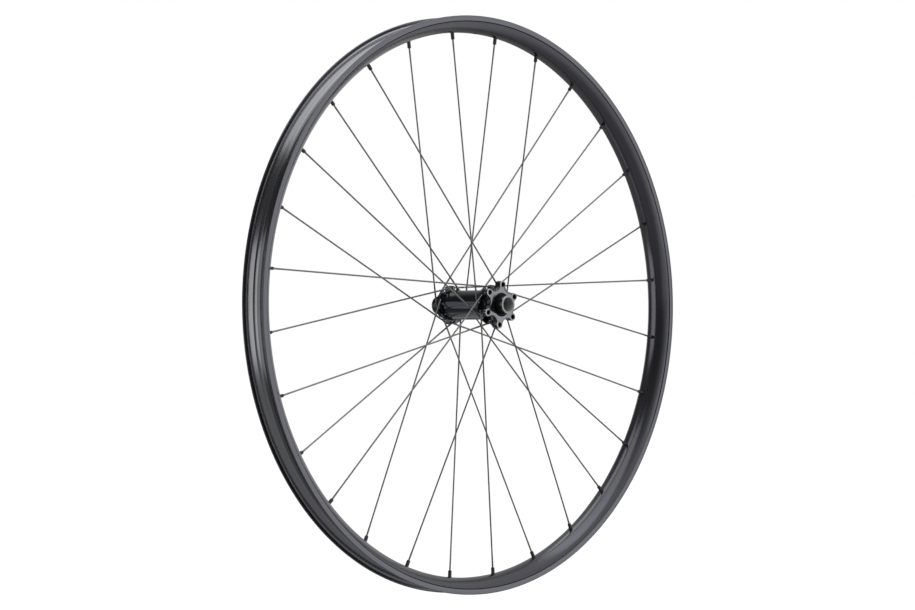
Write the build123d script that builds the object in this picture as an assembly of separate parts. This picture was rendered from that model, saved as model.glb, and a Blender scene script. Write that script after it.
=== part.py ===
from build123d import *
import math
import os

# Front bicycle wheel for a disc brake, in millimetres and degrees
# The axle lies along Y, the brake disc side faces -Y, and angles run from +Z towards +X

# Lacing
SPOKE_COUNT = 28
LACING_GROUP = 4
CROSSES = 3
WIRE_SIDES = 6

# Rim
BEAD_SEAT_D = 622.0
INNER_WIDTH = 30.0
HOOK_HEIGHT = 6.0
HOOK_WALL = 1.7
RIM_DEPTH = 17.7
BAND_HEIGHT = 5.7
BED_WIDTH = 9.2
BED_WALL = 1.8
SIDE_WALL = 1.3
SIDE_BULGE = 0.75
SEAT_WIDTH = 8.3
SEAT_RISE = 1.4
CHANNEL_WIDTH = 11.2
CHANNEL_DEPTH = 3.0
CHANNEL_WALL = 1.6
VALVE_HOLE_D = 6.5

# Spokes and nipples
SPOKE_D = 2.0
SPOKE_HEAD_D = 3.6
SPOKE_HEAD_HEIGHT = 0.9
NIPPLE_FLATS = 3.2
NIPPLE_REACH = 7.4
NIPPLE_HEAD_D = 6.8
NIPPLE_HEAD_TOP_D = 5.0
NIPPLE_HEAD_HEIGHT = 2.0
THREAD_LENGTH = 8.5

# Hub shell
TUBE_D = 31.2
FLANGE_D = 43.6
FLANGE_THICKNESS = 2.4
SPOKE_CIRCLE_D = 39.0
NOTCH_FLOOR_D = 35.6
NOTCH_FLOOR_WIDTH = 2.4
NOTCH_MOUTH_WIDTH = 5.8
PLAIN_FLANGE_Y = 33.9
DISC_FLANGE_Y = -28.2
HOUSING_D = 29.2
PLAIN_END_INSET = 10.0
NECK_D = 33.2
SHELL_BORE_D = 23.6

# Brake disc mount
DISC_FACE_INSET = 10.5
DISC_BOLT_COUNT = 6
DISC_BOLT_CIRCLE_D = 44.0
DISC_BOLT_HOLE_D = 4.2
DISC_BOSS_D = 8.4
DISC_WAIST_D = 34.0
DISC_MOUNT_DEPTH = 8.5
DISC_MOUNT_TURN = 6.4

# Axle, end caps and bearings
DROPOUT_WIDTH = 110.0
AXLE_BORE_D = 15.1
AXLE_D = 17.0
AXLE_SHOULDER_D = 19.0
END_CAP_D = 20.0
BEARING_D = 26.0
BEARING_WIDTH = 5.0
BEARING_RECESS = 1.2
INNER_RING_D = 20.2

# Clearances, on the radius or along the axis
RUNNING_CLEARANCE = 0.05
SEAT_CLEARANCE = 0.03
THREAD_CLEARANCE = 0.04
SPOKE_HOLE_CLEARANCE = 0.25
NIPPLE_CLEARANCE = 0.05
FACE_CLEARANCE = 0.05

# How far a hole's cut runs past the faces it goes through
CUT_OVERRUN = 2.0

# Sizes that follow from the driving dimensions
PITCH = 360 / SPOKE_COUNT
HOLE_STEP = 2 * PITCH
LACING_TURN = CROSSES * HOLE_STEP
LOBE_COUNT = SPOKE_COUNT // LACING_GROUP
CORNER = 1 / math.cos(math.pi / WIRE_SIDES)
SEAT_R = BEAD_SEAT_D / 2
RIM_R = SEAT_R + HOOK_HEIGHT
BED_R = RIM_R - RIM_DEPTH
BED_INNER_R = BED_R + BED_WALL
CHANNEL_R = SEAT_R - CHANNEL_DEPTH
RIM_HALF = INNER_WIDTH / 2 + HOOK_WALL
SPOKE_CIRCLE_R = SPOKE_CIRCLE_D / 2
SPOKE_HOLE_D = (SPOKE_D + 2 * SPOKE_HOLE_CLEARANCE) * CORNER
NIPPLE_HOLE_WIDTH = NIPPLE_FLATS + 2 * NIPPLE_CLEARANCE
DISC_FACE_Y = DISC_FACE_INSET - DROPOUT_WIDTH / 2
PLAIN_END_Y = DROPOUT_WIDTH / 2 - PLAIN_END_INSET
DISC_BEARING_Y = DISC_FACE_Y + BEARING_RECESS
PLAIN_BEARING_Y = PLAIN_END_Y - BEARING_RECESS


def polar(radius, angle, y):
    """Point at a radius and an angle about the axle."""
    turn = math.radians(angle)
    return Vector(radius * math.sin(turn), y, radius * math.cos(turn))


def turned(points):
    """Solid turned about the axle from (radius, y) corners."""
    return revolve(make_face(Polyline(*points, close=True)), Axis.Y)


def ring(inner_d, outer_d, y_from, y_to):
    """Plain ring about the axle."""
    inner = inner_d / 2
    outer = outer_d / 2
    return turned([(inner, y_from), (outer, y_from), (outer, y_to), (inner, y_to)])


def plate(sketch, y_from, y_to):
    """Plate square to the axle, from a sketch with +X right and +Z up."""
    return extrude(Plane.XZ.offset(-y_to) * sketch, y_to - y_from)


def around(radius, angle):
    """Place in such a sketch at a radius and an angle."""
    return Rot(0, 0, -angle) * Pos(0, radius)


def bar(width, start, end):
    """Straight many-sided rod between two points, width across its corners."""
    axis = end - start
    return extrude(Plane(origin=start, z_dir=axis) * RegularPolygon(width / 2, WIRE_SIDES), axis.length)


def lacing(index):
    """Rim angle, hub angle, flange place, elbow side and elbow height of one spoke."""
    direction = 1 if index % LACING_GROUP < LACING_GROUP / 2 else -1
    rim_angle = (index + 0.5) * PITCH
    hub_angle = rim_angle + direction * LACING_TURN
    flange_y = PLAIN_FLANGE_Y if index % 2 == 0 else DISC_FLANGE_Y
    side = -direction
    height = FLANGE_THICKNESS / 2 + SPOKE_D / 2 + FACE_CLEARANCE
    if side * flange_y > 0:
        height += flange_lean(flange_y)
    return rim_angle, hub_angle, flange_y, side, height


def flange_lean(flange_y):
    """Drop towards the middle of the wheel that an outside spoke makes before it leaves its flange."""
    turn = math.radians(LACING_TURN)
    run = math.hypot(BED_INNER_R - SPOKE_CIRCLE_R * math.cos(turn), SPOKE_CIRCLE_R * math.sin(turn))
    foot = BED_INNER_R * SPOKE_CIRCLE_R * math.sin(turn) / run
    reach = math.sqrt((FLANGE_D / 2) ** 2 - foot**2) - math.sqrt(SPOKE_CIRCLE_R**2 - foot**2)
    return reach * abs(flange_y) / run


def spoke_line(index):
    """Elbow of one spoke and the point where its line crosses the nipple's seat."""
    rim_angle, hub_angle, flange_y, side, height = lacing(index)
    elbow = polar(SPOKE_CIRCLE_R, hub_angle, flange_y + side * height)
    seat = polar(BED_INNER_R, rim_angle, 0)
    return elbow, seat


def nipple_lift(index):
    """How far the tilted head of a nipple stands off the seat's middle to rest on the rim."""
    elbow, seat = spoke_line(index)
    tilt = math.radians((seat - elbow).get_angle(polar(1, lacing(index)[0], 0)))
    return NIPPLE_HEAD_D / 2 * math.tan(tilt) + FACE_CLEARANCE


def make_spoke(index):
    """Wire with a head, an elbow through the flange and a straight run into the nipple."""
    _, hub_angle, flange_y, side, _ = lacing(index)
    elbow, seat = spoke_line(index)
    head = polar(SPOKE_CIRCLE_R, hub_angle, flange_y - side * (FLANGE_THICKNESS / 2 + FACE_CLEARANCE))
    head_top = head - Vector(0, side * SPOKE_HEAD_HEIGHT, 0)
    along = (seat - elbow).normalized()
    end = seat - along * (BED_WALL + NIPPLE_REACH - THREAD_LENGTH)
    section = Plane(origin=head, z_dir=elbow - head) * RegularPolygon(SPOKE_D / 2, WIRE_SIDES)
    wire = sweep(section, path=Polyline(head, elbow, end), transition=Transition.RIGHT)
    return wire + bar(SPOKE_HEAD_D, head_top, head)


def make_nipple(index):
    """Square nipple with a tapered head inside the rim and a threaded bore for its spoke."""
    elbow, seat = spoke_line(index)
    along = (seat - elbow).normalized()
    foot = seat - along * (BED_WALL + NIPPLE_REACH)
    shoulder = seat + along * nipple_lift(index)
    place = Plane(origin=foot, z_dir=along)
    body = extrude(place * Rectangle(NIPPLE_FLATS, NIPPLE_FLATS), (shoulder - foot).length)
    head_place = Plane(origin=shoulder, z_dir=along)
    head_base = head_place * RegularPolygon(NIPPLE_HEAD_D / 2, WIRE_SIDES)
    head_top = head_place.offset(NIPPLE_HEAD_HEIGHT) * RegularPolygon(NIPPLE_HEAD_TOP_D / 2, WIRE_SIDES)
    bore_d = (SPOKE_D + 2 * THREAD_CLEARANCE) * CORNER
    bore = bar(bore_d, foot, foot + along * (THREAD_LENGTH + FACE_CLEARANCE))
    return body + loft([head_base, head_top]) - bore


def make_rim():
    """Hollow rim with tyre hooks, seats that rise towards them, a channel, spoke holes and a valve hole."""
    bed_half = BED_WIDTH / 2
    band_r = RIM_R - BAND_HEIGHT
    rise = band_r - BED_R
    run = RIM_HALF - bed_half
    slant = math.hypot(rise, run)
    bulge_r = BED_R + rise / 2 - SIDE_BULGE * run / slant
    bulge_half = bed_half + run / 2 + SIDE_BULGE * rise / slant
    half = [
        (BED_R, bed_half),
        (bulge_r, bulge_half),
        (band_r, RIM_HALF),
        (RIM_R, RIM_HALF),
        (RIM_R, INNER_WIDTH / 2),
        (SEAT_R + SEAT_RISE / 2, INNER_WIDTH / 2),
        (SEAT_R - SEAT_RISE / 2, INNER_WIDTH / 2 - SEAT_WIDTH),
        (CHANNEL_R, CHANNEL_WIDTH / 2),
    ]
    roof_r = CHANNEL_R - CHANNEL_WALL
    shoulder_r = SEAT_R - CHANNEL_WALL
    inset = SIDE_WALL * slant / rise
    floor_half = bed_half + BED_WALL * run / rise - inset
    shoulder_half = bed_half + (shoulder_r - BED_R) * run / rise - inset
    cavity = [(BED_INNER_R, floor_half), (shoulder_r, shoulder_half), (roof_r, CHANNEL_WIDTH / 2)]
    section = mirrored_face(half) - mirrored_face(cavity)
    body = revolve(section, Axis.Y)
    holes = [valve_hole()]
    for index in range(SPOKE_COUNT):
        elbow, seat = spoke_line(index)
        along = (seat - elbow).normalized()
        below = Plane(origin=seat - along * (BED_WALL + CUT_OVERRUN), z_dir=along)
        opening = below * Rectangle(NIPPLE_HOLE_WIDTH, NIPPLE_HOLE_WIDTH)
        holes.append(extrude(opening, BED_WALL + 2 * CUT_OVERRUN))
    return body - holes


def mirrored_face(half):
    """Face from the (radius, y) corners of its +Y half."""
    other = [(radius, -y) for radius, y in reversed(half)]
    return make_face(Polyline(*half, *other, close=True))


def valve_hole():
    """Round hole through both walls of the rim, midway between two spokes."""
    return Pos(0, 0, (BED_R + RIM_R) / 2) * Cylinder(VALVE_HOLE_D / 2, RIM_DEPTH + 2 * CUT_OVERRUN)


def flange_sketch(hole_angle):
    """Flange disc with a lobe round each pair of spoke holes and a notch between lobes."""
    notch_floor = NOTCH_FLOOR_D / 2
    notch_mouth = FLANGE_D / 2 + CUT_OVERRUN
    notch = make_face(
        Polyline(
            (-NOTCH_FLOOR_WIDTH / 2, notch_floor),
            (NOTCH_FLOOR_WIDTH / 2, notch_floor),
            (NOTCH_MOUTH_WIDTH / 2, notch_mouth),
            (-NOTCH_MOUTH_WIDTH / 2, notch_mouth),
            close=True,
        )
    )
    notch_angle = hole_angle - HOLE_STEP / 2
    notches = [Rot(0, 0, -notch_angle - step * 360 / LOBE_COUNT) * notch for step in range(LOBE_COUNT)]
    return Circle(FLANGE_D / 2) - notches


def spoke_hole_sketches(hole_angle):
    """Spoke holes of one flange."""
    hole = RegularPolygon(SPOKE_HOLE_D / 2, WIRE_SIDES)
    return [around(SPOKE_CIRCLE_R, hole_angle + step * HOLE_STEP) * hole for step in range(SPOKE_COUNT // 2)]


def disc_mount_sketch():
    """Six-armed brake disc mount, its bosses joined by hollow curves that touch them."""
    circle = DISC_BOLT_CIRCLE_D / 2
    boss = DISC_BOSS_D / 2
    half_step = 180 / DISC_BOLT_COUNT
    inner = DISC_WAIST_D / 2 - boss
    hollow_at = (circle**2 - inner**2) / (2 * (circle * math.cos(math.radians(half_step)) - inner))
    hollow = hollow_at - DISC_WAIST_D / 2
    corners = []
    bosses = []
    hollows = []
    for step in range(DISC_BOLT_COUNT):
        arm_angle = DISC_MOUNT_TURN + step * 2 * half_step
        corners += [around(circle, arm_angle).position, around(hollow_at, arm_angle + half_step).position]
        bosses.append(around(circle, arm_angle) * Circle(boss))
        hollows.append(around(hollow_at, arm_angle + half_step) * Circle(hollow))
    return make_face(Polyline(*corners, close=True)) + bosses - hollows


def make_hub_shell():
    """Hub shell with two lobed spoke flanges, a brake disc mount and a bearing seat at each end."""
    body = turned(
        [
            (0, DISC_FACE_Y),
            (NECK_D / 2, DISC_FACE_Y),
            (NECK_D / 2, DISC_FLANGE_Y),
            (TUBE_D / 2, DISC_FLANGE_Y),
            (TUBE_D / 2, PLAIN_FLANGE_Y),
            (HOUSING_D / 2, PLAIN_FLANGE_Y),
            (HOUSING_D / 2, PLAIN_END_Y),
            (0, PLAIN_END_Y),
        ]
    )
    for first_spoke in (0, 1):
        _, hole_angle, flange_y, _, _ = lacing(first_spoke)
        near = flange_y - FLANGE_THICKNESS / 2
        far = flange_y + FLANGE_THICKNESS / 2
        body += plate(flange_sketch(hole_angle), near, far)
        body -= [plate(hole, near, far) for hole in spoke_hole_sketches(hole_angle)]
    mount_back = DISC_FACE_Y + DISC_MOUNT_DEPTH
    body += plate(disc_mount_sketch(), DISC_FACE_Y, mount_back)
    bolt_hole = Circle(DISC_BOLT_HOLE_D / 2)
    for step in range(DISC_BOLT_COUNT):
        bolt_angle = DISC_MOUNT_TURN + step * 360 / DISC_BOLT_COUNT
        bolt_place = around(DISC_BOLT_CIRCLE_D / 2, bolt_angle)
        body -= plate(bolt_place * bolt_hole, DISC_FACE_Y, mount_back)
    seat = BEARING_D / 2 + SEAT_CLEARANCE
    bore = turned(
        [
            (0, DISC_FACE_Y),
            (seat, DISC_FACE_Y),
            (seat, DISC_BEARING_Y + BEARING_WIDTH),
            (SHELL_BORE_D / 2, DISC_BEARING_Y + BEARING_WIDTH),
            (SHELL_BORE_D / 2, PLAIN_BEARING_Y - BEARING_WIDTH),
            (seat, PLAIN_BEARING_Y - BEARING_WIDTH),
            (seat, PLAIN_END_Y),
            (0, PLAIN_END_Y),
        ]
    )
    return body - bore


def make_axle_tube():
    """Axle tube with a raised middle that the inner bearing rings butt against."""
    bore = AXLE_BORE_D / 2
    seat = AXLE_D / 2
    shoulder = AXLE_SHOULDER_D / 2
    end = DROPOUT_WIDTH / 2
    disc_shoulder = DISC_BEARING_Y + BEARING_WIDTH
    plain_shoulder = PLAIN_BEARING_Y - BEARING_WIDTH
    return turned(
        [
            (bore, -end),
            (seat, -end),
            (seat, disc_shoulder),
            (shoulder, disc_shoulder),
            (shoulder, plain_shoulder),
            (seat, plain_shoulder),
            (seat, end),
            (bore, end),
        ]
    )


def bearing_rings(y_from):
    """Outer and inner ring of one sealed bearing, the outer with its balls and seals."""
    y_to = y_from + BEARING_WIDTH
    outer = ring(INNER_RING_D + 2 * RUNNING_CLEARANCE, BEARING_D, y_from, y_to)
    inner = ring(AXLE_D + 2 * SEAT_CLEARANCE, INNER_RING_D, y_from, y_to)
    return outer, inner


def make_pieces():
    """Every piece of the wheel under its own name."""
    pieces = {"rim": make_rim(), "hub_shell": make_hub_shell(), "axle_tube": make_axle_tube()}
    sleeve = AXLE_D + 2 * SEAT_CLEARANCE
    end = DROPOUT_WIDTH / 2
    pieces["disc_side_end_cap"] = ring(sleeve, END_CAP_D, -end, DISC_BEARING_Y)
    pieces["plain_side_end_cap"] = ring(sleeve, END_CAP_D, PLAIN_BEARING_Y, end)
    for name, y_from in (("disc", DISC_BEARING_Y), ("plain", PLAIN_BEARING_Y - BEARING_WIDTH)):
        outer, inner = bearing_rings(y_from)
        pieces[f"{name}_side_bearing_outer_ring"] = outer
        pieces[f"{name}_side_bearing_inner_ring"] = inner
    for index in range(SPOKE_COUNT):
        name = "plain" if index % 2 == 0 else "disc"
        pieces[f"{name}_side_spoke_{index // 2 + 1:02d}"] = make_spoke(index)
    pieces["spoke_nipples"] = Compound([make_nipple(index) for index in range(SPOKE_COUNT)])
    return pieces


os.makedirs("parts", exist_ok=True)
for node, piece in make_pieces().items():
    export_step(piece, f"parts/{node}.step")
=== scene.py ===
import math

import bmesh
import bpy
from mathutils import Matrix, Vector


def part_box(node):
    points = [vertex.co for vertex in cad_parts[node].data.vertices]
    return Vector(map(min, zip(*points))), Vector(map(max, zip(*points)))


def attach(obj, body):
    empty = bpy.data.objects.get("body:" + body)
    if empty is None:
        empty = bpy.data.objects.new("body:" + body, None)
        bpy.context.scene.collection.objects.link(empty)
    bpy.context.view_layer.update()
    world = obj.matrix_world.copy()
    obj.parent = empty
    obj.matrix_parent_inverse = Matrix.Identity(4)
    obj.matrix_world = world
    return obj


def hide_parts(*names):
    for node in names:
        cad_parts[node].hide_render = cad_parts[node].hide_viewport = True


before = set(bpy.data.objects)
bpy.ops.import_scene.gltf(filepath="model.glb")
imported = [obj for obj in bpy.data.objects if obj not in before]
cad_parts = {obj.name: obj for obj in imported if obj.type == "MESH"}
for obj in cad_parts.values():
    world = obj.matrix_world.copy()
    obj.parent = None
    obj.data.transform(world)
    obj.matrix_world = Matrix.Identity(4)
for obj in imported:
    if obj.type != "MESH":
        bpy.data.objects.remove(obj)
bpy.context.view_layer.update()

# Axle tube
# A hollow alloy tube, bored for a 15 mm thru-axle and turned down at both ends for the
# inner bearing rings and the push-on end caps. It is clamped in the fork and stands still.
MM = 0.001
MERGE_GAP = 0.001
FACING_SHARE = 0.3
FLAT_SHARE = 0.999
SHARP_ANGLE = math.radians(32)
HUB_STEPS = 96
CORNER_SEGMENTS = 5
DARK_STOP = 0.3
LIGHT_STOP = 0.7
AXLE_BORE = 7.55
AXLE_SEAT = 8.5
EDGE_BREAK = 0.3


def reach(node):
    """Lowest and highest y and the outer radius of a turned node, in millimetres."""
    low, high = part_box(node)
    return low.y / MM, high.y / MM, high.x / MM


def round_corners(shape, corners, rounding, segments):
    """Rounds some corners of an outline."""
    bmesh.ops.bevel(
        shape,
        geom=corners,
        offset=rounding,
        offset_type="OFFSET",
        affect="VERTICES",
        segments=segments,
        profile=0.5,
        material=-1,
    )


def turned(outline, steps):
    """Shape turned about the axle from (radius, y, corner rounding) points in millimetres."""
    shape = bmesh.new()
    corners = [shape.verts.new((radius, y, 0)) for radius, y, _ in outline]
    shape.faces.new(corners)
    for corner, (_, _, rounding) in zip(corners, outline):
        if rounding:
            round_corners(shape, [corner], rounding, CORNER_SEGMENTS)
    bmesh.ops.delete(shape, geom=shape.faces[:], context="FACES_ONLY")
    bmesh.ops.spin(
        shape,
        geom=shape.verts[:] + shape.edges[:],
        cent=(0, 0, 0),
        axis=(0, 1, 0),
        angle=math.tau,
        steps=steps,
        use_merge=True,
    )
    bmesh.ops.remove_doubles(shape, verts=shape.verts[:], dist=MERGE_GAP)
    bmesh.ops.recalc_face_normals(shape, faces=shape.faces[:])
    return shape


def loose_object(shape, name):
    """Object from a shape in millimetres, with its place in its mesh in metres."""
    bmesh.ops.scale(shape, vec=(MM, MM, MM), verts=shape.verts[:])
    mesh = bpy.data.meshes.new(name)
    shape.to_mesh(mesh)
    shape.free()
    made = bpy.data.objects.new(name, mesh)
    bpy.context.scene.collection.objects.link(made)
    return made


def fit_piece(piece, body, nodes, finishes):
    """Smooths a piece, gives it its finishes and lets it stand for its solids on their body."""
    piece.data.shade_smooth()
    piece.data.set_sharp_from_angle(angle=SHARP_ANGLE)
    for finish in finishes:
        piece.data.materials.append(finish)
    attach(piece, body)
    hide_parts(*nodes)


def from_axis(face):
    """Distance of a face's middle from the axle's axis, in millimetres."""
    return math.hypot(face.center.x, face.center.z) / MM


def new_finish(name, **settings):
    """Material whose shader has the given plain settings."""
    finish = bpy.data.materials.new(name)
    finish.use_nodes = True
    shader = finish.node_tree.nodes["Principled BSDF"]
    for socket, value in settings.items():
        shader.inputs[socket.replace("_", " ")].default_value = value
    return finish


def fill(tree, socket, value):
    """Links an output to a socket, or sets the socket to a plain value."""
    if isinstance(value, bpy.types.NodeSocket):
        tree.links.new(value, socket)
    else:
        socket.default_value = value


def add_node(finish, kind, *values, **settings):
    """Node of one kind, with its properties set and its sockets filled in order or by name."""
    tree = finish.node_tree
    node = tree.nodes.new("ShaderNode" + kind)
    for name, value in settings.items():
        socket = node.inputs.get(name.replace("_", " ")) if name[0].isupper() else None
        if socket is None:
            setattr(node, name, value)
        else:
            fill(tree, socket, value)
    for socket, value in zip(node.inputs, values):
        fill(tree, socket, value)
    return node


def to_shader(finish, socket, value):
    """Links a value to one socket of the material's shader."""
    finish.node_tree.links.new(value, finish.node_tree.nodes["Principled BSDF"].inputs[socket])


def turning_lines(finish, across, along):
    """Noise that follows the tool's path round the axle: fine across it and long along it."""
    place = add_node(finish, "TexCoord").outputs["Object"]
    flat = add_node(finish, "VectorMath", place, (1, 0, 1), operation="MULTIPLY")
    radius = add_node(finish, "VectorMath", flat.outputs["Vector"], operation="LENGTH")
    parts = add_node(finish, "SeparateXYZ", place).outputs
    turn = add_node(finish, "Math", parts["X"], parts["Z"], operation="ARCTAN2")
    around = add_node(finish, "Math", turn.outputs["Value"], along / across, operation="MULTIPLY")
    path = add_node(
        finish, "CombineXYZ", radius.outputs["Value"], parts["Y"], around.outputs["Value"]
    )
    noise = add_node(finish, "TexNoise", Vector=path.outputs["Vector"], Scale=across, Detail=2.0)
    return noise.outputs["Fac"]


def grain(finish, scale, detail):
    """Even noise over the whole piece."""
    place = add_node(finish, "TexCoord").outputs["Object"]
    return add_node(finish, "TexNoise", Vector=place, Scale=scale, Detail=detail).outputs["Fac"]


def coloured(finish, noise, dark, light):
    """Blends the material's colour between two by a noise."""
    ramp = add_node(finish, "ValToRGB", Fac=noise)
    stops = ramp.color_ramp.elements
    stops[0].position = DARK_STOP
    stops[0].color = (*dark, 1)
    stops[1].position = LIGHT_STOP
    stops[1].color = (*light, 1)
    to_shader(finish, "Base Color", ramp.outputs["Color"])


def roughened(finish, noise, low, high):
    """Spreads the material's roughness over a range by a noise."""
    spread = add_node(finish, "MapRange", Value=noise, To_Min=low, To_Max=high)
    to_shader(finish, "Roughness", spread.outputs["Result"])


def embossed(finish, noise, depth, strength):
    """Gives the material a bump of a depth in metres from a noise."""
    bump = add_node(finish, "Bump", Height=noise, Distance=depth, Strength=strength)
    to_shader(finish, "Normal", bump.outputs["Normal"])


def turned_alloy(name, dark, light):
    """Bare alloy with the fine rings that a lathe tool leaves."""
    finish = new_finish(name, Metallic=1.0)
    lines = turning_lines(finish, across=5200.0, along=1.5)
    coloured(finish, lines, dark, light)
    roughened(finish, grain(finish, scale=900.0, detail=3.0), low=0.13, high=0.2)
    embossed(finish, lines, depth=0.000004, strength=0.3)
    return finish


def reamed_bore():
    """Clear anodised bore: grey, silky, with only a faint trace of the reamer."""
    finish = new_finish("bore_silky", IOR=1.6)
    lines = turning_lines(finish, across=2400.0, along=0.8)
    coloured(finish, lines, dark=(0.22, 0.23, 0.24), light=(0.25, 0.26, 0.27))
    roughened(finish, lines, low=0.3, high=0.38)
    return finish


faced_alloy = turned_alloy("faced_alloy", (0.118, 0.121, 0.129), (0.168, 0.172, 0.183))
edge_alloy = turned_alloy("edge_alloy", (0.29, 0.285, 0.28), (0.37, 0.365, 0.36))
axle_low, axle_high, axle_shoulder = reach("axle_tube")
disc_bearing_low, disc_bearing_high, bearing_r = reach("disc_side_bearing_outer_ring")
plain_bearing_low, plain_bearing_high, _ = reach("plain_side_bearing_outer_ring")
axle_shape = turned(
    [
        (AXLE_BORE, axle_low, EDGE_BREAK),
        (AXLE_SEAT, axle_low, 0),
        (AXLE_SEAT, disc_bearing_high, 0),
        (axle_shoulder, disc_bearing_high, EDGE_BREAK),
        (axle_shoulder, plain_bearing_low, EDGE_BREAK),
        (AXLE_SEAT, plain_bearing_low, 0),
        (AXLE_SEAT, axle_high, 0),
        (AXLE_BORE, axle_high, EDGE_BREAK),
    ],
    HUB_STEPS,
)
axle_tube = loose_object(axle_shape, "axle_tube_turned")
fit_piece(axle_tube, "axle", ["axle_tube"], [faced_alloy, reamed_bore()])
for face in axle_tube.data.polygons:
    if from_axis(face) < AXLE_BORE + EDGE_BREAK / 2:
        face.material_index = 1

# Bearings
# Two sealed ball bearings, 26 mm across and 5 mm wide, pressed into the hub's ends. The
# ground steel rings carry a black rubber seal, set a little back from their faces.
SEAL_OUTER = 12.5
SEAL_INSET = 0.25
INNER_RING_BORE = 8.53
INNER_RING_R = 10.1
OUTER_RING_BORE = 10.15


def ground_steel():
    """Bright ring steel with very fine grinding lines."""
    finish = new_finish("ground_steel", Metallic=1.0)
    lines = turning_lines(finish, across=7000.0, along=2.0)
    coloured(finish, lines, dark=(0.42, 0.42, 0.43), light=(0.55, 0.55, 0.56))
    roughened(finish, lines, low=0.2, high=0.32)
    return finish


def seal_rubber():
    """Black moulded rubber, slightly mottled."""
    finish = new_finish("seal_rubber", Specular_IOR_Level=0.12)
    mottle = grain(finish, scale=1600.0, detail=4.0)
    coloured(finish, mottle, dark=(0.004, 0.004, 0.0045), light=(0.008, 0.008, 0.0085))
    roughened(finish, mottle, low=0.5, high=0.7)
    embossed(finish, mottle, depth=0.00005, strength=0.5)
    return finish


def seal_faces(piece):
    """Gives a ring's ends, inside its bright outer edge, the rubber of the seal over them."""
    for face in piece.data.polygons:
        distance = from_axis(face)
        at_end = abs(face.normal.y) > FACING_SHARE or abs(distance - SEAL_OUTER) < EDGE_BREAK
        if at_end and distance < bearing_r - EDGE_BREAK / 2:
            face.material_index = 1


steel = ground_steel()
rubber = seal_rubber()
for side, low, high in (
    ("disc_side", disc_bearing_low, disc_bearing_high),
    ("plain_side", plain_bearing_low, plain_bearing_high),
):
    outer_shape = turned(
        [
            (OUTER_RING_BORE, low + SEAL_INSET, 0),
            (SEAL_OUTER, low + SEAL_INSET, 0),
            (SEAL_OUTER, low, 0),
            (bearing_r, low, EDGE_BREAK),
            (bearing_r, high, EDGE_BREAK),
            (SEAL_OUTER, high, 0),
            (SEAL_OUTER, high - SEAL_INSET, 0),
            (OUTER_RING_BORE, high - SEAL_INSET, 0),
        ],
        HUB_STEPS,
    )
    inner_shape = turned(
        [
            (INNER_RING_BORE, low, EDGE_BREAK),
            (INNER_RING_R, low, EDGE_BREAK),
            (INNER_RING_R, high, EDGE_BREAK),
            (INNER_RING_BORE, high, EDGE_BREAK),
        ],
        HUB_STEPS,
    )
    outer_ring = loose_object(outer_shape, f"{side}_sealed_ring")
    fit_piece(outer_ring, "wheel", [f"{side}_bearing_outer_ring"], [steel, rubber])
    seal_faces(outer_ring)
    inner_ring = loose_object(inner_shape, f"{side}_inner_race")
    fit_piece(inner_ring, "axle", [f"{side}_bearing_inner_ring"], [steel, rubber])
    seal_faces(inner_ring)

# Hub shell
# One forged and machined alloy piece, anodised gloss black: a tube with two lobed spoke
# flanges and a six-armed brake disc mount, whose front face is machined bare afterwards.
TUBE_R = 16.2
HOUSING_R = 14.6
NECK_R = 16.6
TUBE_FILLET = 1.9
PLAIN_END = 45.0
SHELL_BORE_R = 11.8
SEAT_CLEARANCE = 0.03
FLANGE_R = 21.8
FLANGE_CORE_R = 17.9
FLANGE_THICKNESS = 2.4
PLAIN_FLANGE_Y = 33.9
DISC_FLANGE_Y = -28.2
SPOKE_CIRCLE_R = 19.5
SPOKE_HOLE_R = 1.3
SPOKE_HOLE_SIDES = 16
NOTCH_FLOOR_R = 17.8
NOTCH_FLOOR_WIDTH = 2.4
NOTCH_MOUTH_WIDTH = 4.7
LOBE_ROUNDING = 1.3
NOTCH_ROUNDING = 0.7
LOBE_STEPS = 10
NOTCH_STEPS = 2
OUTLINE_SEGMENTS = 4
FLANGE_CHAMFER = 0.45
CHAMFER_SEGMENTS = 2
SPOKE_COUNT = 28
CROSSES = 3
PITCH = 360 / SPOKE_COUNT
LACING_TURN = CROSSES * 2 * PITCH
LOBE_COUNT = SPOKE_COUNT // 4
DISC_BOLT_COUNT = 6
DISC_BOLT_CIRCLE_R = 22.0
DISC_BOLT_HOLE_R = 2.1
DISC_BOLT_SINK_R = 2.8
DISC_BOLT_SIDES = 24
DISC_BOSS_R = 4.2
DISC_BOSS_STEPS = 20
DISC_WAIST_R = 17.0
DISC_HOLLOW_STEPS = 8
DISC_MOUNT_DEPTH = 8.5
DISC_MOUNT_TURN = 6.4
DISC_CHAMFER = 0.7
PLATE_OVERLAP = 0.6
CUT_OVERRUN = 2.0


def polar(radius, angle, y):
    """Point at a radius and an angle about the axle: from the valve, clockwise seen from -Y."""
    turn = math.radians(angle)
    return Vector((radius * math.sin(turn), y, radius * math.cos(turn)))


def points_in(made):
    """Points among the elements that an operator made."""
    return [item for item in made if isinstance(item, bmesh.types.BMVert)]


def arc(shape, corner, centre, turn, steps):
    """Wire that carries a point round a centre, seen along +Y; returns its last point."""
    made = bmesh.ops.spin(
        shape, geom=[corner], cent=centre, axis=(0, 1, 0), angle=math.radians(turn), steps=steps
    )
    return points_in(made["geom_last"])[0]


def repeated(shape, count):
    """Wire repeated evenly round the axle, joined into a closed outline and filled with a face."""
    first = shape.verts[:] + shape.edges[:]
    for step in range(1, count):
        copy = bmesh.ops.duplicate(shape, geom=first)["geom"]
        turn = Matrix.Rotation(math.tau * step / count, 3, "Y")
        bmesh.ops.rotate(shape, verts=points_in(copy), cent=(0, 0, 0), matrix=turn)
    bmesh.ops.remove_doubles(shape, verts=shape.verts[:], dist=10 * MERGE_GAP)
    bmesh.ops.edgeloop_fill(shape, edges=shape.edges[:])


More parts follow.
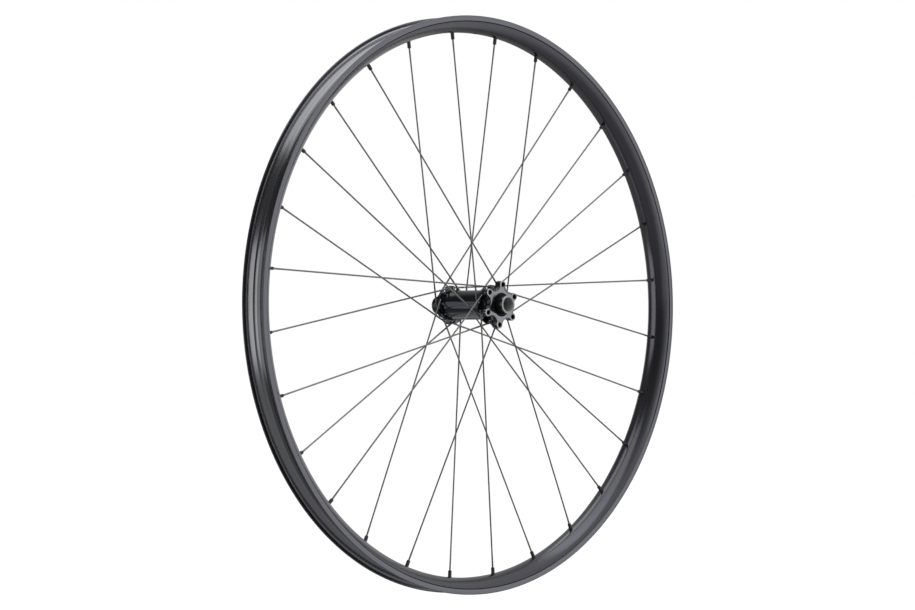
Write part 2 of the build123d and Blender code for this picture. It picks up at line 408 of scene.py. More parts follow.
def corners_at(shape, radius):
    """Points of an outline at one radius where it turns sharply."""
    found = []
    for corner in shape.verts:
        first, second = [edge.other_vert(corner).co - corner.co for edge in corner.link_edges]
        if abs(corner.co.length - radius) < EDGE_BREAK and first.angle(-second) > SHARP_ANGLE:
            found.append(corner)
    return found


def flange_outline(hole_angle):
    """Outline of a flange: a lobe round each pair of spoke holes, with a notch between lobes."""
    shape = bmesh.new()
    notch_angle = hole_angle - PITCH
    step = 360 / LOBE_COUNT
    mouth = math.degrees(math.asin(NOTCH_MOUTH_WIDTH / 2 / FLANGE_R))
    floor = math.degrees(math.asin(NOTCH_FLOOR_WIDTH / 2 / NOTCH_FLOOR_R))
    floor_end = shape.verts.new(polar(NOTCH_FLOOR_R, notch_angle + floor, 0))
    lobe_start = shape.verts.new(polar(FLANGE_R, notch_angle + mouth, 0))
    shape.edges.new((floor_end, lobe_start))
    lobe_end = arc(shape, lobe_start, (0, 0, 0), step - 2 * mouth, LOBE_STEPS)
    next_floor = shape.verts.new(polar(NOTCH_FLOOR_R, notch_angle + step - floor, 0))
    shape.edges.new((lobe_end, next_floor))
    arc(shape, next_floor, (0, 0, 0), 2 * floor, NOTCH_STEPS)
    repeated(shape, LOBE_COUNT)
    round_corners(shape, corners_at(shape, FLANGE_R), LOBE_ROUNDING, OUTLINE_SEGMENTS)
    round_corners(shape, corners_at(shape, NOTCH_FLOOR_R), NOTCH_ROUNDING, OUTLINE_SEGMENTS)
    return shape


def disc_mount_outline():
    """Outline of the brake disc mount: six bosses joined by hollow curves that touch them."""
    shape = bmesh.new()
    half_step = 180 / DISC_BOLT_COUNT
    inner = DISC_WAIST_R - DISC_BOSS_R
    side = math.cos(math.radians(half_step))
    hollow_at = (DISC_BOLT_CIRCLE_R**2 - inner**2) / (2 * (DISC_BOLT_CIRCLE_R * side - inner))
    boss = polar(DISC_BOLT_CIRCLE_R, DISC_MOUNT_TURN, 0)
    hollow = polar(hollow_at, DISC_MOUNT_TURN + half_step, 0)
    boss_turn = math.degrees((hollow - boss).angle(boss))
    hollow_turn = math.degrees((boss - hollow).angle(-hollow))
    last_hollow = polar(hollow_at, DISC_MOUNT_TURN - half_step, 0)
    start = shape.verts.new(polar(DISC_WAIST_R, DISC_MOUNT_TURN - half_step, 0))
    touch = arc(shape, start, last_hollow, -hollow_turn, DISC_HOLLOW_STEPS)
    touch = arc(shape, touch, boss, 2 * boss_turn, DISC_BOSS_STEPS)
    arc(shape, touch, hollow, -hollow_turn, DISC_HOLLOW_STEPS)
    repeated(shape, DISC_BOLT_COUNT)
    return shape


def plate(shape, low, high, chamfer):
    """Plate from an outline, between two heights along the axle, with its edges broken."""
    bmesh.ops.translate(shape, vec=(0, low, 0), verts=shape.verts[:])
    made = bmesh.ops.extrude_face_region(shape, geom=shape.faces[:], use_keep_orig=True)
    bmesh.ops.translate(shape, vec=(0, high - low, 0), verts=points_in(made["geom"]))
    bmesh.ops.recalc_face_normals(shape, faces=shape.faces[:])
    ends = [face for face in shape.faces if abs(face.normal.y) > FLAT_SHARE]
    rims = {edge for face in ends for edge in face.edges}
    bmesh.ops.bevel(
        shape,
        geom=list(rims),
        offset=chamfer,
        offset_type="OFFSET",
        affect="EDGES",
        segments=CHAMFER_SEGMENTS,
        profile=0.5,
        material=-1,
        clamp_overlap=True,
    )
    return shape


def joined(shapes):
    """One shape from several."""
    whole = bmesh.new()
    for shape in shapes:
        mesh = bpy.data.meshes.new("joining")
        shape.to_mesh(mesh)
        shape.free()
        whole.from_mesh(mesh)
        bpy.data.meshes.remove(mesh)
    return whole


def rod(shape, radius, start, end, sides, end_radius=None):
    """Round bar between two points, tapered where its end has a radius of its own."""
    axis = end - start
    turn = axis.to_track_quat("Z", "X").to_matrix().to_4x4()
    bmesh.ops.create_cone(
        shape,
        cap_ends=True,
        segments=sides,
        radius1=radius,
        radius2=end_radius or radius,
        depth=axis.length,
        matrix=Matrix.Translation((start + end) / 2) @ turn,
    )


def combine(piece, other, operation):
    """Joins another solid to a piece or cuts it away, and drops the other."""
    step = piece.modifiers.new(operation.lower(), "BOOLEAN")
    step.operation = operation
    step.solver = "EXACT"
    step.object = other
    graph = bpy.context.evaluated_depsgraph_get()
    mesh = bpy.data.meshes.new_from_object(piece.evaluated_get(graph))
    piece.modifiers.clear()
    piece.data = mesh
    bpy.data.objects.remove(other)


def hub_gloss():
    """Gloss black anodising over fine turning lines."""
    finish = new_finish("hub_gloss_black", IOR=1.45, Specular_Tint=(0.74, 0.87, 1.0, 1.0))
    lines = turning_lines(finish, across=3000.0, along=1.0)
    cloud = grain(finish, scale=60.0, detail=3.0)
    coloured(finish, cloud, dark=(0.003, 0.003, 0.0036), light=(0.005, 0.005, 0.006))
    roughened(finish, lines, low=0.1, high=0.16)
    embossed(finish, lines, depth=0.0000015, strength=0.25)
    return finish


disc_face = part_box("hub_shell")[0].y / MM
mount_back = disc_face + DISC_MOUNT_DEPTH
seat_r = bearing_r + SEAT_CLEARANCE
half_flange = FLANGE_THICKNESS / 2
shell_shape = turned(
    [
        (AXLE_BORE, disc_face + PLATE_OVERLAP, 0),
        (NECK_R, disc_face + PLATE_OVERLAP, 0),
        (NECK_R, DISC_FLANGE_Y - half_flange, 0),
        (FLANGE_CORE_R, DISC_FLANGE_Y - half_flange / 2, 0),
        (FLANGE_CORE_R, DISC_FLANGE_Y + half_flange / 2, 0),
        (TUBE_R, DISC_FLANGE_Y + half_flange / 2, TUBE_FILLET),
        (TUBE_R, PLAIN_FLANGE_Y - half_flange / 2, TUBE_FILLET),
        (FLANGE_CORE_R, PLAIN_FLANGE_Y - half_flange / 2, 0),
        (FLANGE_CORE_R, PLAIN_FLANGE_Y + half_flange / 2, 0),
        (HOUSING_R, PLAIN_FLANGE_Y + half_flange / 2, TUBE_FILLET),
        (HOUSING_R, PLAIN_END, EDGE_BREAK),
        (AXLE_BORE, PLAIN_END, 0),
    ],
    HUB_STEPS,
)
plates = [plate(disc_mount_outline(), disc_face, mount_back, DISC_CHAMFER)]
holes = turned(
    [
        (0, disc_face - CUT_OVERRUN, 0),
        (seat_r, disc_face - CUT_OVERRUN, 0),
        (seat_r, disc_bearing_high, 0),
        (SHELL_BORE_R, disc_bearing_high, 0),
        (SHELL_BORE_R, plain_bearing_low, 0),
        (seat_r, plain_bearing_low, 0),
        (seat_r, PLAIN_END + CUT_OVERRUN, 0),
        (0, PLAIN_END + CUT_OVERRUN, 0),
    ],
    HUB_STEPS,
)
for first_spoke, flange_y in ((0, PLAIN_FLANGE_Y), (1, DISC_FLANGE_Y)):
    hole_angle = (first_spoke + 0.5) * PITCH + LACING_TURN
    low = flange_y - half_flange
    high = flange_y + half_flange
    plates.append(plate(flange_outline(hole_angle), low, high, FLANGE_CHAMFER))
    for step in range(SPOKE_COUNT // 2):
        angle = hole_angle + step * 2 * PITCH
        start = polar(SPOKE_CIRCLE_R, angle, low - EDGE_BREAK)
        end = polar(SPOKE_CIRCLE_R, angle, high + EDGE_BREAK)
        rod(holes, SPOKE_HOLE_R, start, end, SPOKE_HOLE_SIDES)
sinks = bmesh.new()
sink_depth = DISC_BOLT_SINK_R - DISC_BOLT_HOLE_R + EDGE_BREAK
bolt_angles = [DISC_MOUNT_TURN + step * 360 / DISC_BOLT_COUNT for step in range(DISC_BOLT_COUNT)]
for angle in bolt_angles:
    start = polar(DISC_BOLT_CIRCLE_R, angle, disc_face - EDGE_BREAK)
    sink_end = polar(DISC_BOLT_CIRCLE_R, angle, disc_face - EDGE_BREAK + sink_depth)
    hole_end = polar(DISC_BOLT_CIRCLE_R, angle, mount_back + EDGE_BREAK)
    rod(sinks, DISC_BOLT_SINK_R + EDGE_BREAK, start, sink_end, DISC_BOLT_SIDES, DISC_BOLT_HOLE_R)
    rod(holes, DISC_BOLT_HOLE_R, start, hole_end, DISC_BOLT_SIDES)
hub_shell = loose_object(shell_shape, "hub_shell_machined")
combine(hub_shell, loose_object(joined(plates), "hub_plates"), "UNION")
combine(hub_shell, loose_object(holes, "hub_holes"), "DIFFERENCE")
combine(hub_shell, loose_object(sinks, "bolt_sinks"), "DIFFERENCE")
hub_finishes = [hub_gloss(), faced_alloy, edge_alloy]
fit_piece(hub_shell, "wheel", ["hub_shell"], hub_finishes)
bolts = [polar(DISC_BOLT_CIRCLE_R, angle, disc_face) * MM for angle in bolt_angles]
for face in hub_shell.data.polygons:
    from_bolt = min((face.center - bolt).length for bolt in bolts) / MM
    if face.normal.y < -FACING_SHARE and face.center.y / MM < disc_face + DISC_CHAMFER:
        if face.normal.y < -FLAT_SHARE:
            face.material_index = 1
        elif DISC_BOLT_SINK_R < from_bolt < DISC_BOSS_R + EDGE_BREAK:
            face.material_index = 2

# End caps
# Two black anodised alloy sleeves pushed over the axle's ends up to the bearings. Their
# outer faces, turned bare, stand against the fork's dropouts.
CAP_CHAMFER = 0.5
CAP_GROOVE_DEPTH = 0.5
CAP_GROOVE_WIDTH = 1.4
CAP_GROOVE_INSET = 3.2


def cap_black():
    """Satin black anodising with turning lines."""
    finish = new_finish("cap_satin_black", IOR=1.5)
    lines = turning_lines(finish, across=3600.0, along=1.0)
    coloured(finish, lines, dark=(0.004, 0.004, 0.005), light=(0.007, 0.007, 0.008))
    roughened(finish, lines, low=0.2, high=0.28)
    embossed(finish, lines, depth=0.000002, strength=0.2)
    return finish


cap_finishes = [cap_black(), faced_alloy, edge_alloy]
for side in ("disc_side", "plain_side"):
    low, high, cap_r = reach(f"{side}_end_cap")
    outer = 1 if side == "plain_side" else -1
    front = high if outer > 0 else low
    back = low if outer > 0 else high
    groove = front - outer * CAP_GROOVE_INSET
    cap_shape = turned(
        [
            (INNER_RING_BORE, front, 0),
            (cap_r, front, CAP_CHAMFER),
            (cap_r, groove, 0),
            (cap_r - CAP_GROOVE_DEPTH, groove, 0),
            (cap_r - CAP_GROOVE_DEPTH, groove - outer * CAP_GROOVE_WIDTH, 0),
            (cap_r, groove - outer * CAP_GROOVE_WIDTH, 0),
            (cap_r, back, EDGE_BREAK),
            (INNER_RING_BORE, back, 0),
        ],
        HUB_STEPS,
    )
    cap = loose_object(cap_shape, f"{side}_cap_sleeve")
    fit_piece(cap, "axle", [f"{side}_end_cap"], cap_finishes)
    for face in cap.data.polygons:
        outwards = outer * face.normal.y
        if outwards > FACING_SHARE and abs(face.center.y / MM - front) < CAP_CHAMFER:
            face.material_index = 1 if outwards > FLAT_SHARE else 2

# Spokes
# 28 drawn steel wires, black, butted from 2.0 mm at both ends to a thinner middle. A rolled
# head holds each in its flange, a short bend turns it to the rim, and it crosses three others.
SPOKE_R = 1.0
SPOKE_THIN_R = 0.88
SPOKE_SIDES = 12
SPOKE_HEAD_R = 1.85
SPOKE_DOME_R = 1.147
SPOKE_DOME_HEIGHT = 0.36
SPOKE_EDGE_HEIGHT = 0.36
SPOKE_TAPER_HEIGHT = 0.18
SPOKE_HEAD_HEIGHT = SPOKE_DOME_HEIGHT + SPOKE_EDGE_HEIGHT + SPOKE_TAPER_HEIGHT
SPOKE_BEND_R = 2.0
SPOKE_BEND_STEPS = 8
BUTT_START = 14.0
BUTT_TAPER = 12.0
FACE_CLEARANCE = 0.05
BED_R = 299.3
BED_WALL = 1.8
NIPPLE_REACH = 7.4
THREAD_LENGTH = 8.5
BED_INNER_R = BED_R + BED_WALL


def flange_lean(flange_y):
    """Drop to the wheel's middle that an outside spoke makes before it leaves its flange."""
    turn = math.radians(LACING_TURN)
    run = math.hypot(BED_INNER_R - SPOKE_CIRCLE_R * math.cos(turn), SPOKE_CIRCLE_R * math.sin(turn))
    foot = BED_INNER_R * SPOKE_CIRCLE_R * math.sin(turn) / run
    past_hole = math.sqrt(FLANGE_R**2 - foot**2) - math.sqrt(SPOKE_CIRCLE_R**2 - foot**2)
    return past_hole * abs(flange_y) / run


def lacing(index):
    """Rim angle, hub angle, flange place, elbow side and elbow height of one spoke."""
    direction = 1 if index % 4 < 2 else -1
    rim_angle = (index + 0.5) * PITCH
    hub_angle = rim_angle + direction * LACING_TURN
    flange_y = PLAIN_FLANGE_Y if index % 2 == 0 else DISC_FLANGE_Y
    side = -direction
    height = half_flange + SPOKE_R + FACE_CLEARANCE
    if side * flange_y > 0:
        height += flange_lean(flange_y)
    return rim_angle, hub_angle, flange_y, side, height


def spoke_line(index):
    """Elbow of one spoke, the point where it crosses the nipple's seat, and its direction."""
    rim_angle, hub_angle, flange_y, side, height = lacing(index)
    elbow = polar(SPOKE_CIRCLE_R, hub_angle, flange_y + side * height)
    seat = polar(BED_INNER_R, rim_angle, 0)
    return elbow, seat, (seat - elbow).normalized()


def edges_in(made):
    """Edges among the elements that an operator made."""
    return [item for item in made if isinstance(item, bmesh.types.BMEdge)]


def drawn_on(shape, ring, step, size):
    """Carries a wire's last ring a step along, and makes it larger or smaller round its middle."""
    made = bmesh.ops.extrude_edge_only(shape, edges=ring)["geom"]
    corners = points_in(made)
    bmesh.ops.translate(shape, vec=step, verts=corners)
    middle = sum((corner.co for corner in corners), Vector()) / len(corners)
    bmesh.ops.scale(shape, vec=(size, size, size), space=Matrix.Translation(-middle), verts=corners)
    return [edge for edge in edges_in(made) if all(corner in corners for corner in edge.verts)]


def spoke_shape(index):
    """Wire of one spoke: domed head, shank, bend, butted run and end."""
    *_, side, height = lacing(index)
    elbow, seat, along = spoke_line(index)
    up = Vector((0, side, 0))
    turn = up.angle(along)
    bend_start = SPOKE_BEND_R * math.tan(turn / 2)
    length = (seat - elbow).length - (BED_WALL + NIPPLE_REACH - THREAD_LENGTH)
    shank = height + half_flange + FACE_CLEARANCE
    shape = bmesh.new()
    bmesh.ops.create_circle(
        shape,
        cap_ends=True,
        segments=SPOKE_SIDES,
        radius=SPOKE_DOME_R,
        matrix=Matrix.Translation((0, 0, -shank - SPOKE_HEAD_HEIGHT)),
    )
    ring = shape.edges[:]
    for rise, size in (
        (SPOKE_DOME_HEIGHT, SPOKE_HEAD_R / SPOKE_DOME_R),
        (SPOKE_EDGE_HEIGHT, 1),
        (SPOKE_TAPER_HEIGHT, SPOKE_R / SPOKE_HEAD_R),
        (shank - bend_start, 1),
    ):
        ring = drawn_on(shape, ring, (0, 0, rise), size)
    bend = bmesh.ops.spin(
        shape,
        geom=ring,
        cent=(SPOKE_BEND_R, 0, -bend_start),
        axis=(0, 1, 0),
        angle=turn,
        steps=SPOKE_BEND_STEPS,
    )
    ring = edges_in(bend["geom_last"])
    run = Vector((math.sin(turn), 0, math.cos(turn)))
    middle = length - bend_start - 2 * (BUTT_START + BUTT_TAPER)
    for distance, size in (
        (BUTT_START, 1),
        (BUTT_TAPER, SPOKE_THIN_R / SPOKE_R),
        (middle, 1),
        (BUTT_TAPER, SPOKE_R / SPOKE_THIN_R),
        (BUTT_START, 1),
    ):
        ring = drawn_on(shape, ring, run * distance, size)
    bmesh.ops.contextual_create(shape, geom=ring)
    across = (along - up * along.dot(up)).normalized()
    axes = Matrix((across, up.cross(across), up)).transposed().to_4x4()
    bmesh.ops.transform(shape, matrix=Matrix.Translation(elbow) @ axes, verts=shape.verts[:])
    bmesh.ops.recalc_face_normals(shape, faces=shape.faces[:])
    return shape


def spoke_black():
    """Black oxide on drawn wire: dark, slightly glossy, with faint mottling."""
    finish = new_finish("spoke_black_oxide", IOR=2.2, Specular_Tint=(0.97, 0.98, 0.96, 1.0))
    mottle = grain(finish, scale=420.0, detail=3.0)
    coloured(finish, mottle, dark=(0.008, 0.0063, 0.005), light=(0.013, 0.0105, 0.0085))
    roughened(finish, mottle, low=0.26, high=0.4)
    embossed(finish, grain(finish, scale=2400.0, detail=2.0), depth=0.000004, strength=0.3)
    return finish


black_wire = spoke_black()
for index in range(SPOKE_COUNT):
    flange = "plain_side" if index % 2 == 0 else "disc_side"
    number = f"{index // 2 + 1:02d}"
    wire = loose_object(spoke_shape(index), f"{flange}_wire_{number}")
    fit_piece(wire, "wheel", [f"{flange}_spoke_{number}"], [black_wire])

# Nipples
# 28 black alloy nuts that screw onto the spokes' ends. A round shank passes through the
# rim, a square takes the spoke key, and a flared head bears on the rim from inside.
NIPPLE_FLATS = 3.25
NIPPLE_FLATS_LENGTH = 5.6
NIPPLE_CORNER = 0.75
NIPPLE_CORNER_SEGMENTS = 3
NIPPLE_CHAMFER = 0.7
NIPPLE_FOOT = 2.6
NIPPLE_BORE = 2.0352
NIPPLE_SHANK_R = 1.75
NIPPLE_HEAD_R = 3.3
NIPPLE_HEAD_TOP_R = 2.4
NIPPLE_HEAD_HEIGHT = 2.0
NIPPLE_SEAT_LIFT = 0.4


def nipple_shape():
    """One nipple on its own axis, from its foot up to its head."""
    shape = bmesh.new()
    corner_r = NIPPLE_FLATS / math.sqrt(2)
    turn = Matrix.Rotation(math.radians(45), 4, "Z")
    bmesh.ops.create_circle(shape, cap_ends=True, segments=4, radius=corner_r, matrix=turn)
    round_corners(shape, shape.verts[:], NIPPLE_CORNER, NIPPLE_CORNER_SEGMENTS)
    bmesh.ops.delete(shape, geom=shape.faces[:], context="FACES_ONLY")
    square = shape.edges[:]
    foot = drawn_on(shape, square, (0, 0, -NIPPLE_CHAMFER), NIPPLE_FOOT / NIPPLE_FLATS)
    inner = drawn_on(shape, foot, (0, 0, 0), NIPPLE_BORE / NIPPLE_FOOT)
    inner = drawn_on(shape, inner, (0, 0, NIPPLE_REACH / 2), 1)
    bmesh.ops.contextual_create(shape, geom=inner)
    square = drawn_on(shape, square, (0, 0, NIPPLE_FLATS_LENGTH), 1)
    seat = BED_WALL + NIPPLE_REACH - NIPPLE_CHAMFER
    shank = drawn_on(shape, square, (0, 0, NIPPLE_CHAMFER), NIPPLE_SHANK_R * 2 / NIPPLE_FLATS)
    shank_step = seat + NIPPLE_SEAT_LIFT - NIPPLE_FLATS_LENGTH - NIPPLE_CHAMFER
    shank = drawn_on(shape, shank, (0, 0, shank_step), 1)
    head = drawn_on(shape, shank, (0, 0, 0), NIPPLE_HEAD_R / NIPPLE_SHANK_R)
    head = drawn_on(shape, head, (0, 0, NIPPLE_HEAD_HEIGHT), NIPPLE_HEAD_TOP_R / NIPPLE_HEAD_R)
    bmesh.ops.contextual_create(shape, geom=head)
    bmesh.ops.recalc_face_normals(shape, faces=shape.faces[:])
    bmesh.ops.translate(shape, vec=(0, 0, NIPPLE_CHAMFER), verts=shape.verts[:])
    return shape


def nipple_black():
    """Black anodised alloy, satin, with a little grain."""
    finish = new_finish("nipple_satin_black", IOR=1.36)
    mottle = grain(finish, scale=1100.0, detail=3.0)
    coloured(finish, mottle, dark=(0.004, 0.004, 0.0045), light=(0.007, 0.007, 0.0075))
    roughened(finish, mottle, low=0.32, high=0.46)
    embossed(finish, mottle, depth=0.000006, strength=0.3)
    return finish


nipples = []
for index in range(SPOKE_COUNT):
    _, seat, along = spoke_line(index)
    foot = seat - along * (BED_WALL + NIPPLE_REACH)
    across = along.cross(Vector((0, 1, 0))).normalized()
    axes = Matrix((across, along.cross(across), along)).transposed().to_4x4()
    nipple = nipple_shape()
    bmesh.ops.transform(nipple, matrix=Matrix.Translation(foot) @ axes, verts=nipple.verts[:])
    nipples.append(nipple)
nipple_set = loose_object(joined(nipples), "nipples_turned")
fit_piece(nipple_set, "wheel", ["spoke_nipples"], [nipple_black()])

# Rim
# A hollow alloy extrusion rolled into a ring and joined, anodised satin black. Its walls curve
# from a narrow spoke bed to a machined band below the tyre's edge; the bed for the tyre has two
# bright cut seats and a middle channel with a satin floor.
RIM_STEPS = 12 * SPOKE_COUNT
BED_HALF = 4.6
BED_ROUNDING = 3.0
WALL_R = 304.06
WALL_HALF = 11.94
WALL_ROUNDING = 5.4
WALL_TOP_R = 310.4
WALL_TOP_HALF = 15.9
LINE_WIDTH = 0.3
LINE_DEPTH = 0.6
BAND_R = 311.4
FINE_ROUNDING = 0.15
TIP_ROUNDING = 0.6
LIP_ROUNDING = 1.0
TYRE_HALF = 15.0
HOOK_FOOT_R = 313.7
HOOK_ROUNDING = 0.6
LEDGE_R = 312.1
LEDGE_HALF = 14.3
SEAT_OUTER_R = 311.5
SEAT_OUTER_HALF = 14.15
SEAT_R = 310.3
SEAT_HALF = 7.2
CHANNEL_R = 309.2
CHANNEL_HALF = 5.7
CHANNEL_FLOOR_R = 308.1
CHANNEL_FLOOR_HALF = 2.5
CHANNEL_ROUNDING = 2.2
CHANNEL_WALL = 1.6
CAVITY_FLOOR_HALF = 4.6
CAVITY_HALF = 12.8
NIPPLE_HOLE_R = 2.1
NIPPLE_HOLE_SIDES = 20
VALVE_HOLE_R = 3.25
VALVE_HOLE_SIDES = 32


def rim_half():
    """Outer outline of the rim's +Y half, from the spoke bed round to the tyre channel."""
    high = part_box("rim")[1]
    half = high.y / MM
    edge = high.x / MM
    return [
        (BED_R, BED_HALF, BED_ROUNDING),
        (WALL_R, WALL_HALF, WALL_ROUNDING),
        (WALL_TOP_R, WALL_TOP_HALF, 0),
        (WALL_TOP_R + LINE_WIDTH, WALL_TOP_HALF - LINE_DEPTH, 0),
        (BAND_R, half, FINE_ROUNDING),
        (edge, half, TIP_ROUNDING),
        (edge, TYRE_HALF, LIP_ROUNDING),
        (HOOK_FOOT_R, TYRE_HALF, HOOK_ROUNDING),
        (LEDGE_R, LEDGE_HALF, FINE_ROUNDING),
        (SEAT_OUTER_R, SEAT_OUTER_HALF, FINE_ROUNDING),
        (SEAT_R, SEAT_HALF, FINE_ROUNDING),
        (CHANNEL_R, CHANNEL_HALF, FINE_ROUNDING),
        (CHANNEL_FLOOR_R, CHANNEL_FLOOR_HALF, CHANNEL_ROUNDING),
    ]


def both_halves(half):
    """Full outline from its +Y half."""
    return half + [(radius, -y, rounding) for radius, y, rounding in reversed(half)]


def rim_anodised():
    """Satin black anodising over fine lines drawn along the extrusion."""
    finish = new_finish("rim_satin_black", IOR=1.83, Specular_Tint=(0.88, 0.89, 1.0, 1.0))
    lines = turning_lines(finish, across=1800.0, along=3.0)
    cloud = grain(finish, scale=25.0, detail=3.0)
    coloured(finish, cloud, dark=(0.0060, 0.0060, 0.0068), light=(0.0085, 0.0085, 0.0096))
    roughened(finish, lines, low=0.17, high=0.23)
    embossed(finish, grain(finish, scale=2600.0, detail=2.0), depth=0.000004, strength=0.35)
    return finish


def tyre_bed_gloss():
    """Black anodising over the bright cut of the tyre bed, which mirrors more than the walls."""
    finish = new_finish("tyre_bed_gloss", Metallic=1.0)
    lines = turning_lines(finish, across=1500.0, along=2.0)
    coloured(finish, lines, dark=(0.19, 0.192, 0.2), light=(0.223, 0.226, 0.236))
    roughened(finish, lines, low=0.2, high=0.28)
    return finish


def in_tyre_bed(face):
    """Whether a face lies on the bed for the tyre, between a hook's foot and the channel floor."""
    radial = Vector((face.center.x, 0, face.center.z))
    outwards = face.normal.dot(radial.normalized()) > FACING_SHARE
    between = CHANNEL_FLOOR_HALF < abs(face.center.y) / MM < TYRE_HALF
    in_depth = CHANNEL_FLOOR_R - EDGE_BREAK < radial.length / MM < HOOK_FOOT_R
    return outwards and between and in_depth


rim_shape = turned(both_halves(rim_half()), RIM_STEPS)
cavity = turned(
    both_halves(
        [
            (BED_INNER_R, CAVITY_FLOOR_HALF, 0),
            (SEAT_R - CHANNEL_WALL, CAVITY_HALF, 0),
            (CHANNEL_FLOOR_R - CHANNEL_WALL, CHANNEL_HALF, 0),
        ]
    ),
    RIM_STEPS,
)
bmesh.ops.reverse_faces(cavity, faces=cavity.faces[:])
rim = loose_object(joined([rim_shape, cavity]), "rim_anodised_ring")
rim_holes = bmesh.new()
for index in range(SPOKE_COUNT):
    _, seat, along = spoke_line(index)
    start = seat - along * (BED_WALL + CUT_OVERRUN)
    rod(rim_holes, NIPPLE_HOLE_R, start, seat + along * CUT_OVERRUN, NIPPLE_HOLE_SIDES)
valve_start = polar(BED_R - CUT_OVERRUN, 0, 0)
valve_end = polar(CHANNEL_R + CUT_OVERRUN, 0, 0)
rod(rim_holes, VALVE_HOLE_R, valve_start, valve_end, VALVE_HOLE_SIDES)
combine(rim, loose_object(rim_holes, "rim_holes"), "DIFFERENCE")
fit_piece(rim, "wheel", ["rim"], [rim_anodised(), tyre_bed_gloss()])
for face in rim.data.polygons:
    if in_tyre_bed(face):
        face.material_index = 1

# Floor
# A plain pale studio floor well below the wheel, which is held up by its axle. The camera
# sees it white; the wheel's gloss mirrors it pale, and brighter on its right side from a painted
# glow.
FLOOR_Z = -0.72
FLOOR_HALF = 30.0
FLOOR_CELLS = 8
FLOOR_GLOW = 0.79
# Strength and reach of a painted glow on the floor's right side, standing in for the right soft
# box's light on it.
FLOOR_PAINTED_SHEEN = 0.58
PAINTED_SHEEN_START = 0.5
PAINTED_SHEEN_FULL = 1.1
CAMERA_AZIMUTH = -44.881
azimuth = math.radians(CAMERA_AZIMUTH)
level_front = Vector((math.sin(azimuth), -math.cos(azimuth), 0))
level_right = Vector((math.cos(azimuth), math.sin(azimuth), 0))


def measured(finish, place, axis):
    """How far a place or a direction lies along an axis."""
    return add_node(finish, "VectorMath", place, axis, operation="DOT_PRODUCT").outputs["Value"]


def eased(finish, value, start, end, low, high):
    """Level that eases from low to high while a value goes from start to end."""
    node = add_node(
        finish,
        "MapRange",
        interpolation_type="SMOOTHSTEP",
        Value=value,
        From_Min=start,
        From_Max=end,
        To_Min=low,
        To_Max=high,
    )
    return node.outputs["Result"]


def ray_kinds(finish):
    """Whether a ray comes from the camera, and whether it comes from a gloss or clear surface."""
    path = add_node(finish, "LightPath").outputs
    mirrored = add_node(
        finish, "Math", path["Is Glossy Ray"], path["Is Transmission Ray"], operation="MAXIMUM"
    )
    return path["Is Camera Ray"], mirrored.outputs["Value"]


def floor_paint_with_painted_sheen():
    """Pale matt paint, lifted to white for the camera, with a painted glow on its right side that
    only mirrored rays see.
    """
    finish = new_finish("floor_paint_with_painted_sheen", Roughness=0.9, Emission_Color=(1, 1, 1, 1))
    mottle = grain(finish, scale=3.0, detail=2.0)
    coloured(finish, mottle, dark=(0.28, 0.28, 0.28), light=(0.31, 0.31, 0.31))
    sideways = measured(finish, add_node(finish, "TexCoord").outputs["Object"], level_right)
    # Painted light: the floor's right side glows for mirrored rays, standing in for the right soft
    # box's light on it.
    painted_right_glow = eased(finish, sideways, PAINTED_SHEEN_START, PAINTED_SHEEN_FULL, 0, FLOOR_PAINTED_SHEEN)
    seen, mirrored = ray_kinds(finish)
    painted_sheen = add_node(finish, "Math", mirrored, painted_right_glow, operation="MULTIPLY").outputs["Value"]
    glow = add_node(finish, "Math", seen, FLOOR_GLOW, painted_sheen, operation="MULTIPLY_ADD")
    to_shader(finish, "Emission Strength", glow.outputs["Value"])
    return finish


floor_shape = bmesh.new()
bmesh.ops.create_grid(
    floor_shape,
    x_segments=FLOOR_CELLS,
    y_segments=FLOOR_CELLS,
    size=FLOOR_HALF,
    matrix=Matrix.Translation((0, 0, FLOOR_Z)),
)
floor_mesh = bpy.data.meshes.new("floor")
floor_shape.to_mesh(floor_mesh)
floor_shape.free()
floor_mesh.materials.append(floor_paint_with_painted_sheen())
floor = bpy.data.objects.new("floor", floor_mesh)
bpy.context.scene.collection.objects.link(floor)

# Studio light
# A large soft box at each side of the wheel and one above it, with a small card low behind the
# hub. The room is even for matt surfaces; gloss mirrors it bright on the right and dim elsewhere.
ROOM_LIGHT = 0.75
RIGHT_LIGHT = 0.8
RIGHT_START = 0.02
RIGHT_FULL = 0.55
LEFT_LIGHT = 0.1
LEFT_START = -0.7
LEFT_END = -0.3
BACK_LIGHT = 0.45
FRONT_LIGHT = 0.08
FRONT_EASE = 0.3
SOFT_BOXES = [
    ("right_box", (0.76, -1.63, 0.05), (0, 0, 0), 2.2, 1.5, 10.3),
    ("left_box", (-1.26, 0.7, -0.01), (-0.11, -0.15, 0), 1.23, 0.98, 5.3),
    ("top_box", (-0.137, 0.0, 1.1), (-0.137, 0.0, 0), 1.514, 2.06, 14.75),
    ("low_box", (0.0, 0.2, -0.184), (0, 0, 0), 0.224, 0.064, 0.032),
]
for name, place, aim, width, height, power in SOFT_BOXES:
    lamp = bpy.data.lights.new(name, "AREA")
    lamp.shape = "RECTANGLE"
    lamp.size = width
    lamp.size_y = height
    lamp.energy = power
    box = bpy.data.objects.new(name, lamp)
    box.location = place
    box.rotation_mode = "QUATERNION"
    box.rotation_quaternion = (Vector(aim) - Vector(place)).to_track_quat("-Z", "Y")
    box.visible_camera = False
    bpy.context.scene.collection.objects.link(box)
world = bpy.data.worlds.new("studio")
world.use_nodes = True
world.node_tree.nodes.clear()
bpy.context.scene.world = world
direction = add_node(world, "TexCoord").outputs["Generated"]
sideways = measured(world, direction, level_right)
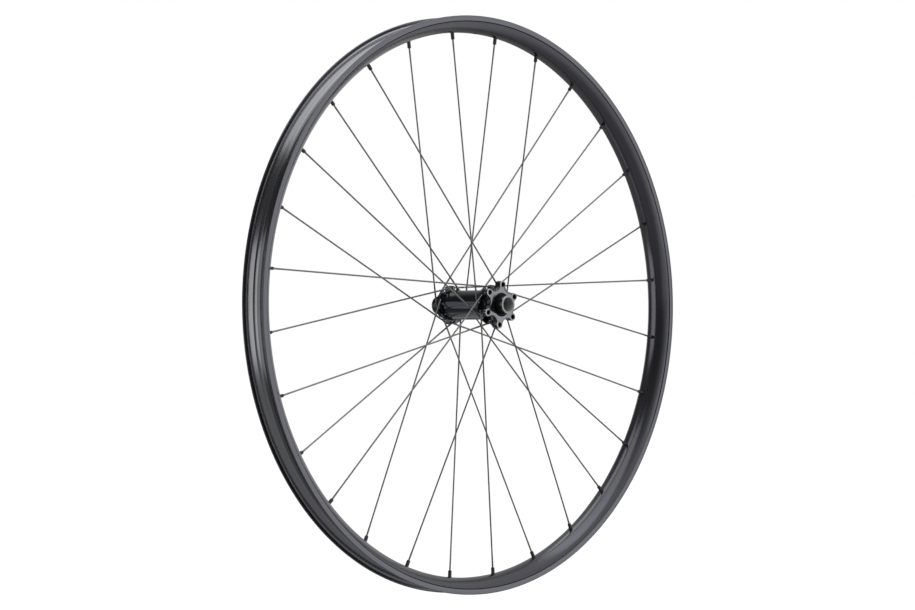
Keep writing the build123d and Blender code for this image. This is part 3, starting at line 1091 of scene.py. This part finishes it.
forwards = measured(world, direction, level_front)
middle_light = eased(world, forwards, -FRONT_EASE, FRONT_EASE, BACK_LIGHT, FRONT_LIGHT)
right_light = eased(world, sideways, RIGHT_START, RIGHT_FULL, middle_light, RIGHT_LIGHT)
mirrored_light = eased(world, sideways, LEFT_START, LEFT_END, LEFT_LIGHT, right_light)
seen, mirrored = ray_kinds(world)
object_light = add_node(world, "Mix", Factor=mirrored, A=ROOM_LIGHT, B=mirrored_light)
seen_light = add_node(world, "Mix", Factor=seen, A=object_light.outputs[0], B=1.0)
room = add_node(world, "Background", Color=(1, 1, 1, 1), Strength=seen_light.outputs[0])
add_node(world, "OutputWorld", Surface=room.outputs["Background"])

# Camera
# A long lens three metres away, level with the hub and half turned to the brake disc side. It is
# shifted a little sideways, so that the wheel stands in the picture where the photo has it.
CAMERA_ELEVATION = -0.938
CAMERA_ROLL = 0.256
CAMERA_DISTANCE = 2.997
IMAGE_WIDTH = 915
SENSOR_WIDTH = 36.0
FOCAL_PIXELS = 2721.6
WHEEL_CENTRE_X = 472.69
elevation = math.radians(CAMERA_ELEVATION)
roll = math.radians(CAMERA_ROLL)
backwards = level_front * math.cos(elevation) + Vector((0, 0, math.sin(elevation)))
up = backwards.cross(level_right)
rolled_right = level_right * math.cos(roll) + up * math.sin(roll)
rolled_up = up * math.cos(roll) - level_right * math.sin(roll)
camera_axes = Matrix((rolled_right, rolled_up, backwards)).transposed()
lens = bpy.data.cameras.new("camera")
lens.sensor_width = SENSOR_WIDTH
lens.lens = FOCAL_PIXELS / IMAGE_WIDTH * SENSOR_WIDTH
lens.shift_x = (IMAGE_WIDTH / 2 - WHEEL_CENTRE_X) / IMAGE_WIDTH
camera = bpy.data.objects.new("camera", lens)
camera.rotation_mode = "QUATERNION"
camera.location = backwards * CAMERA_DISTANCE
camera.rotation_quaternion = camera_axes.to_quaternion()
bpy.context.scene.collection.objects.link(camera)
bpy.context.scene.camera = camera
bpy.context.scene.view_settings.view_transform = "Standard"
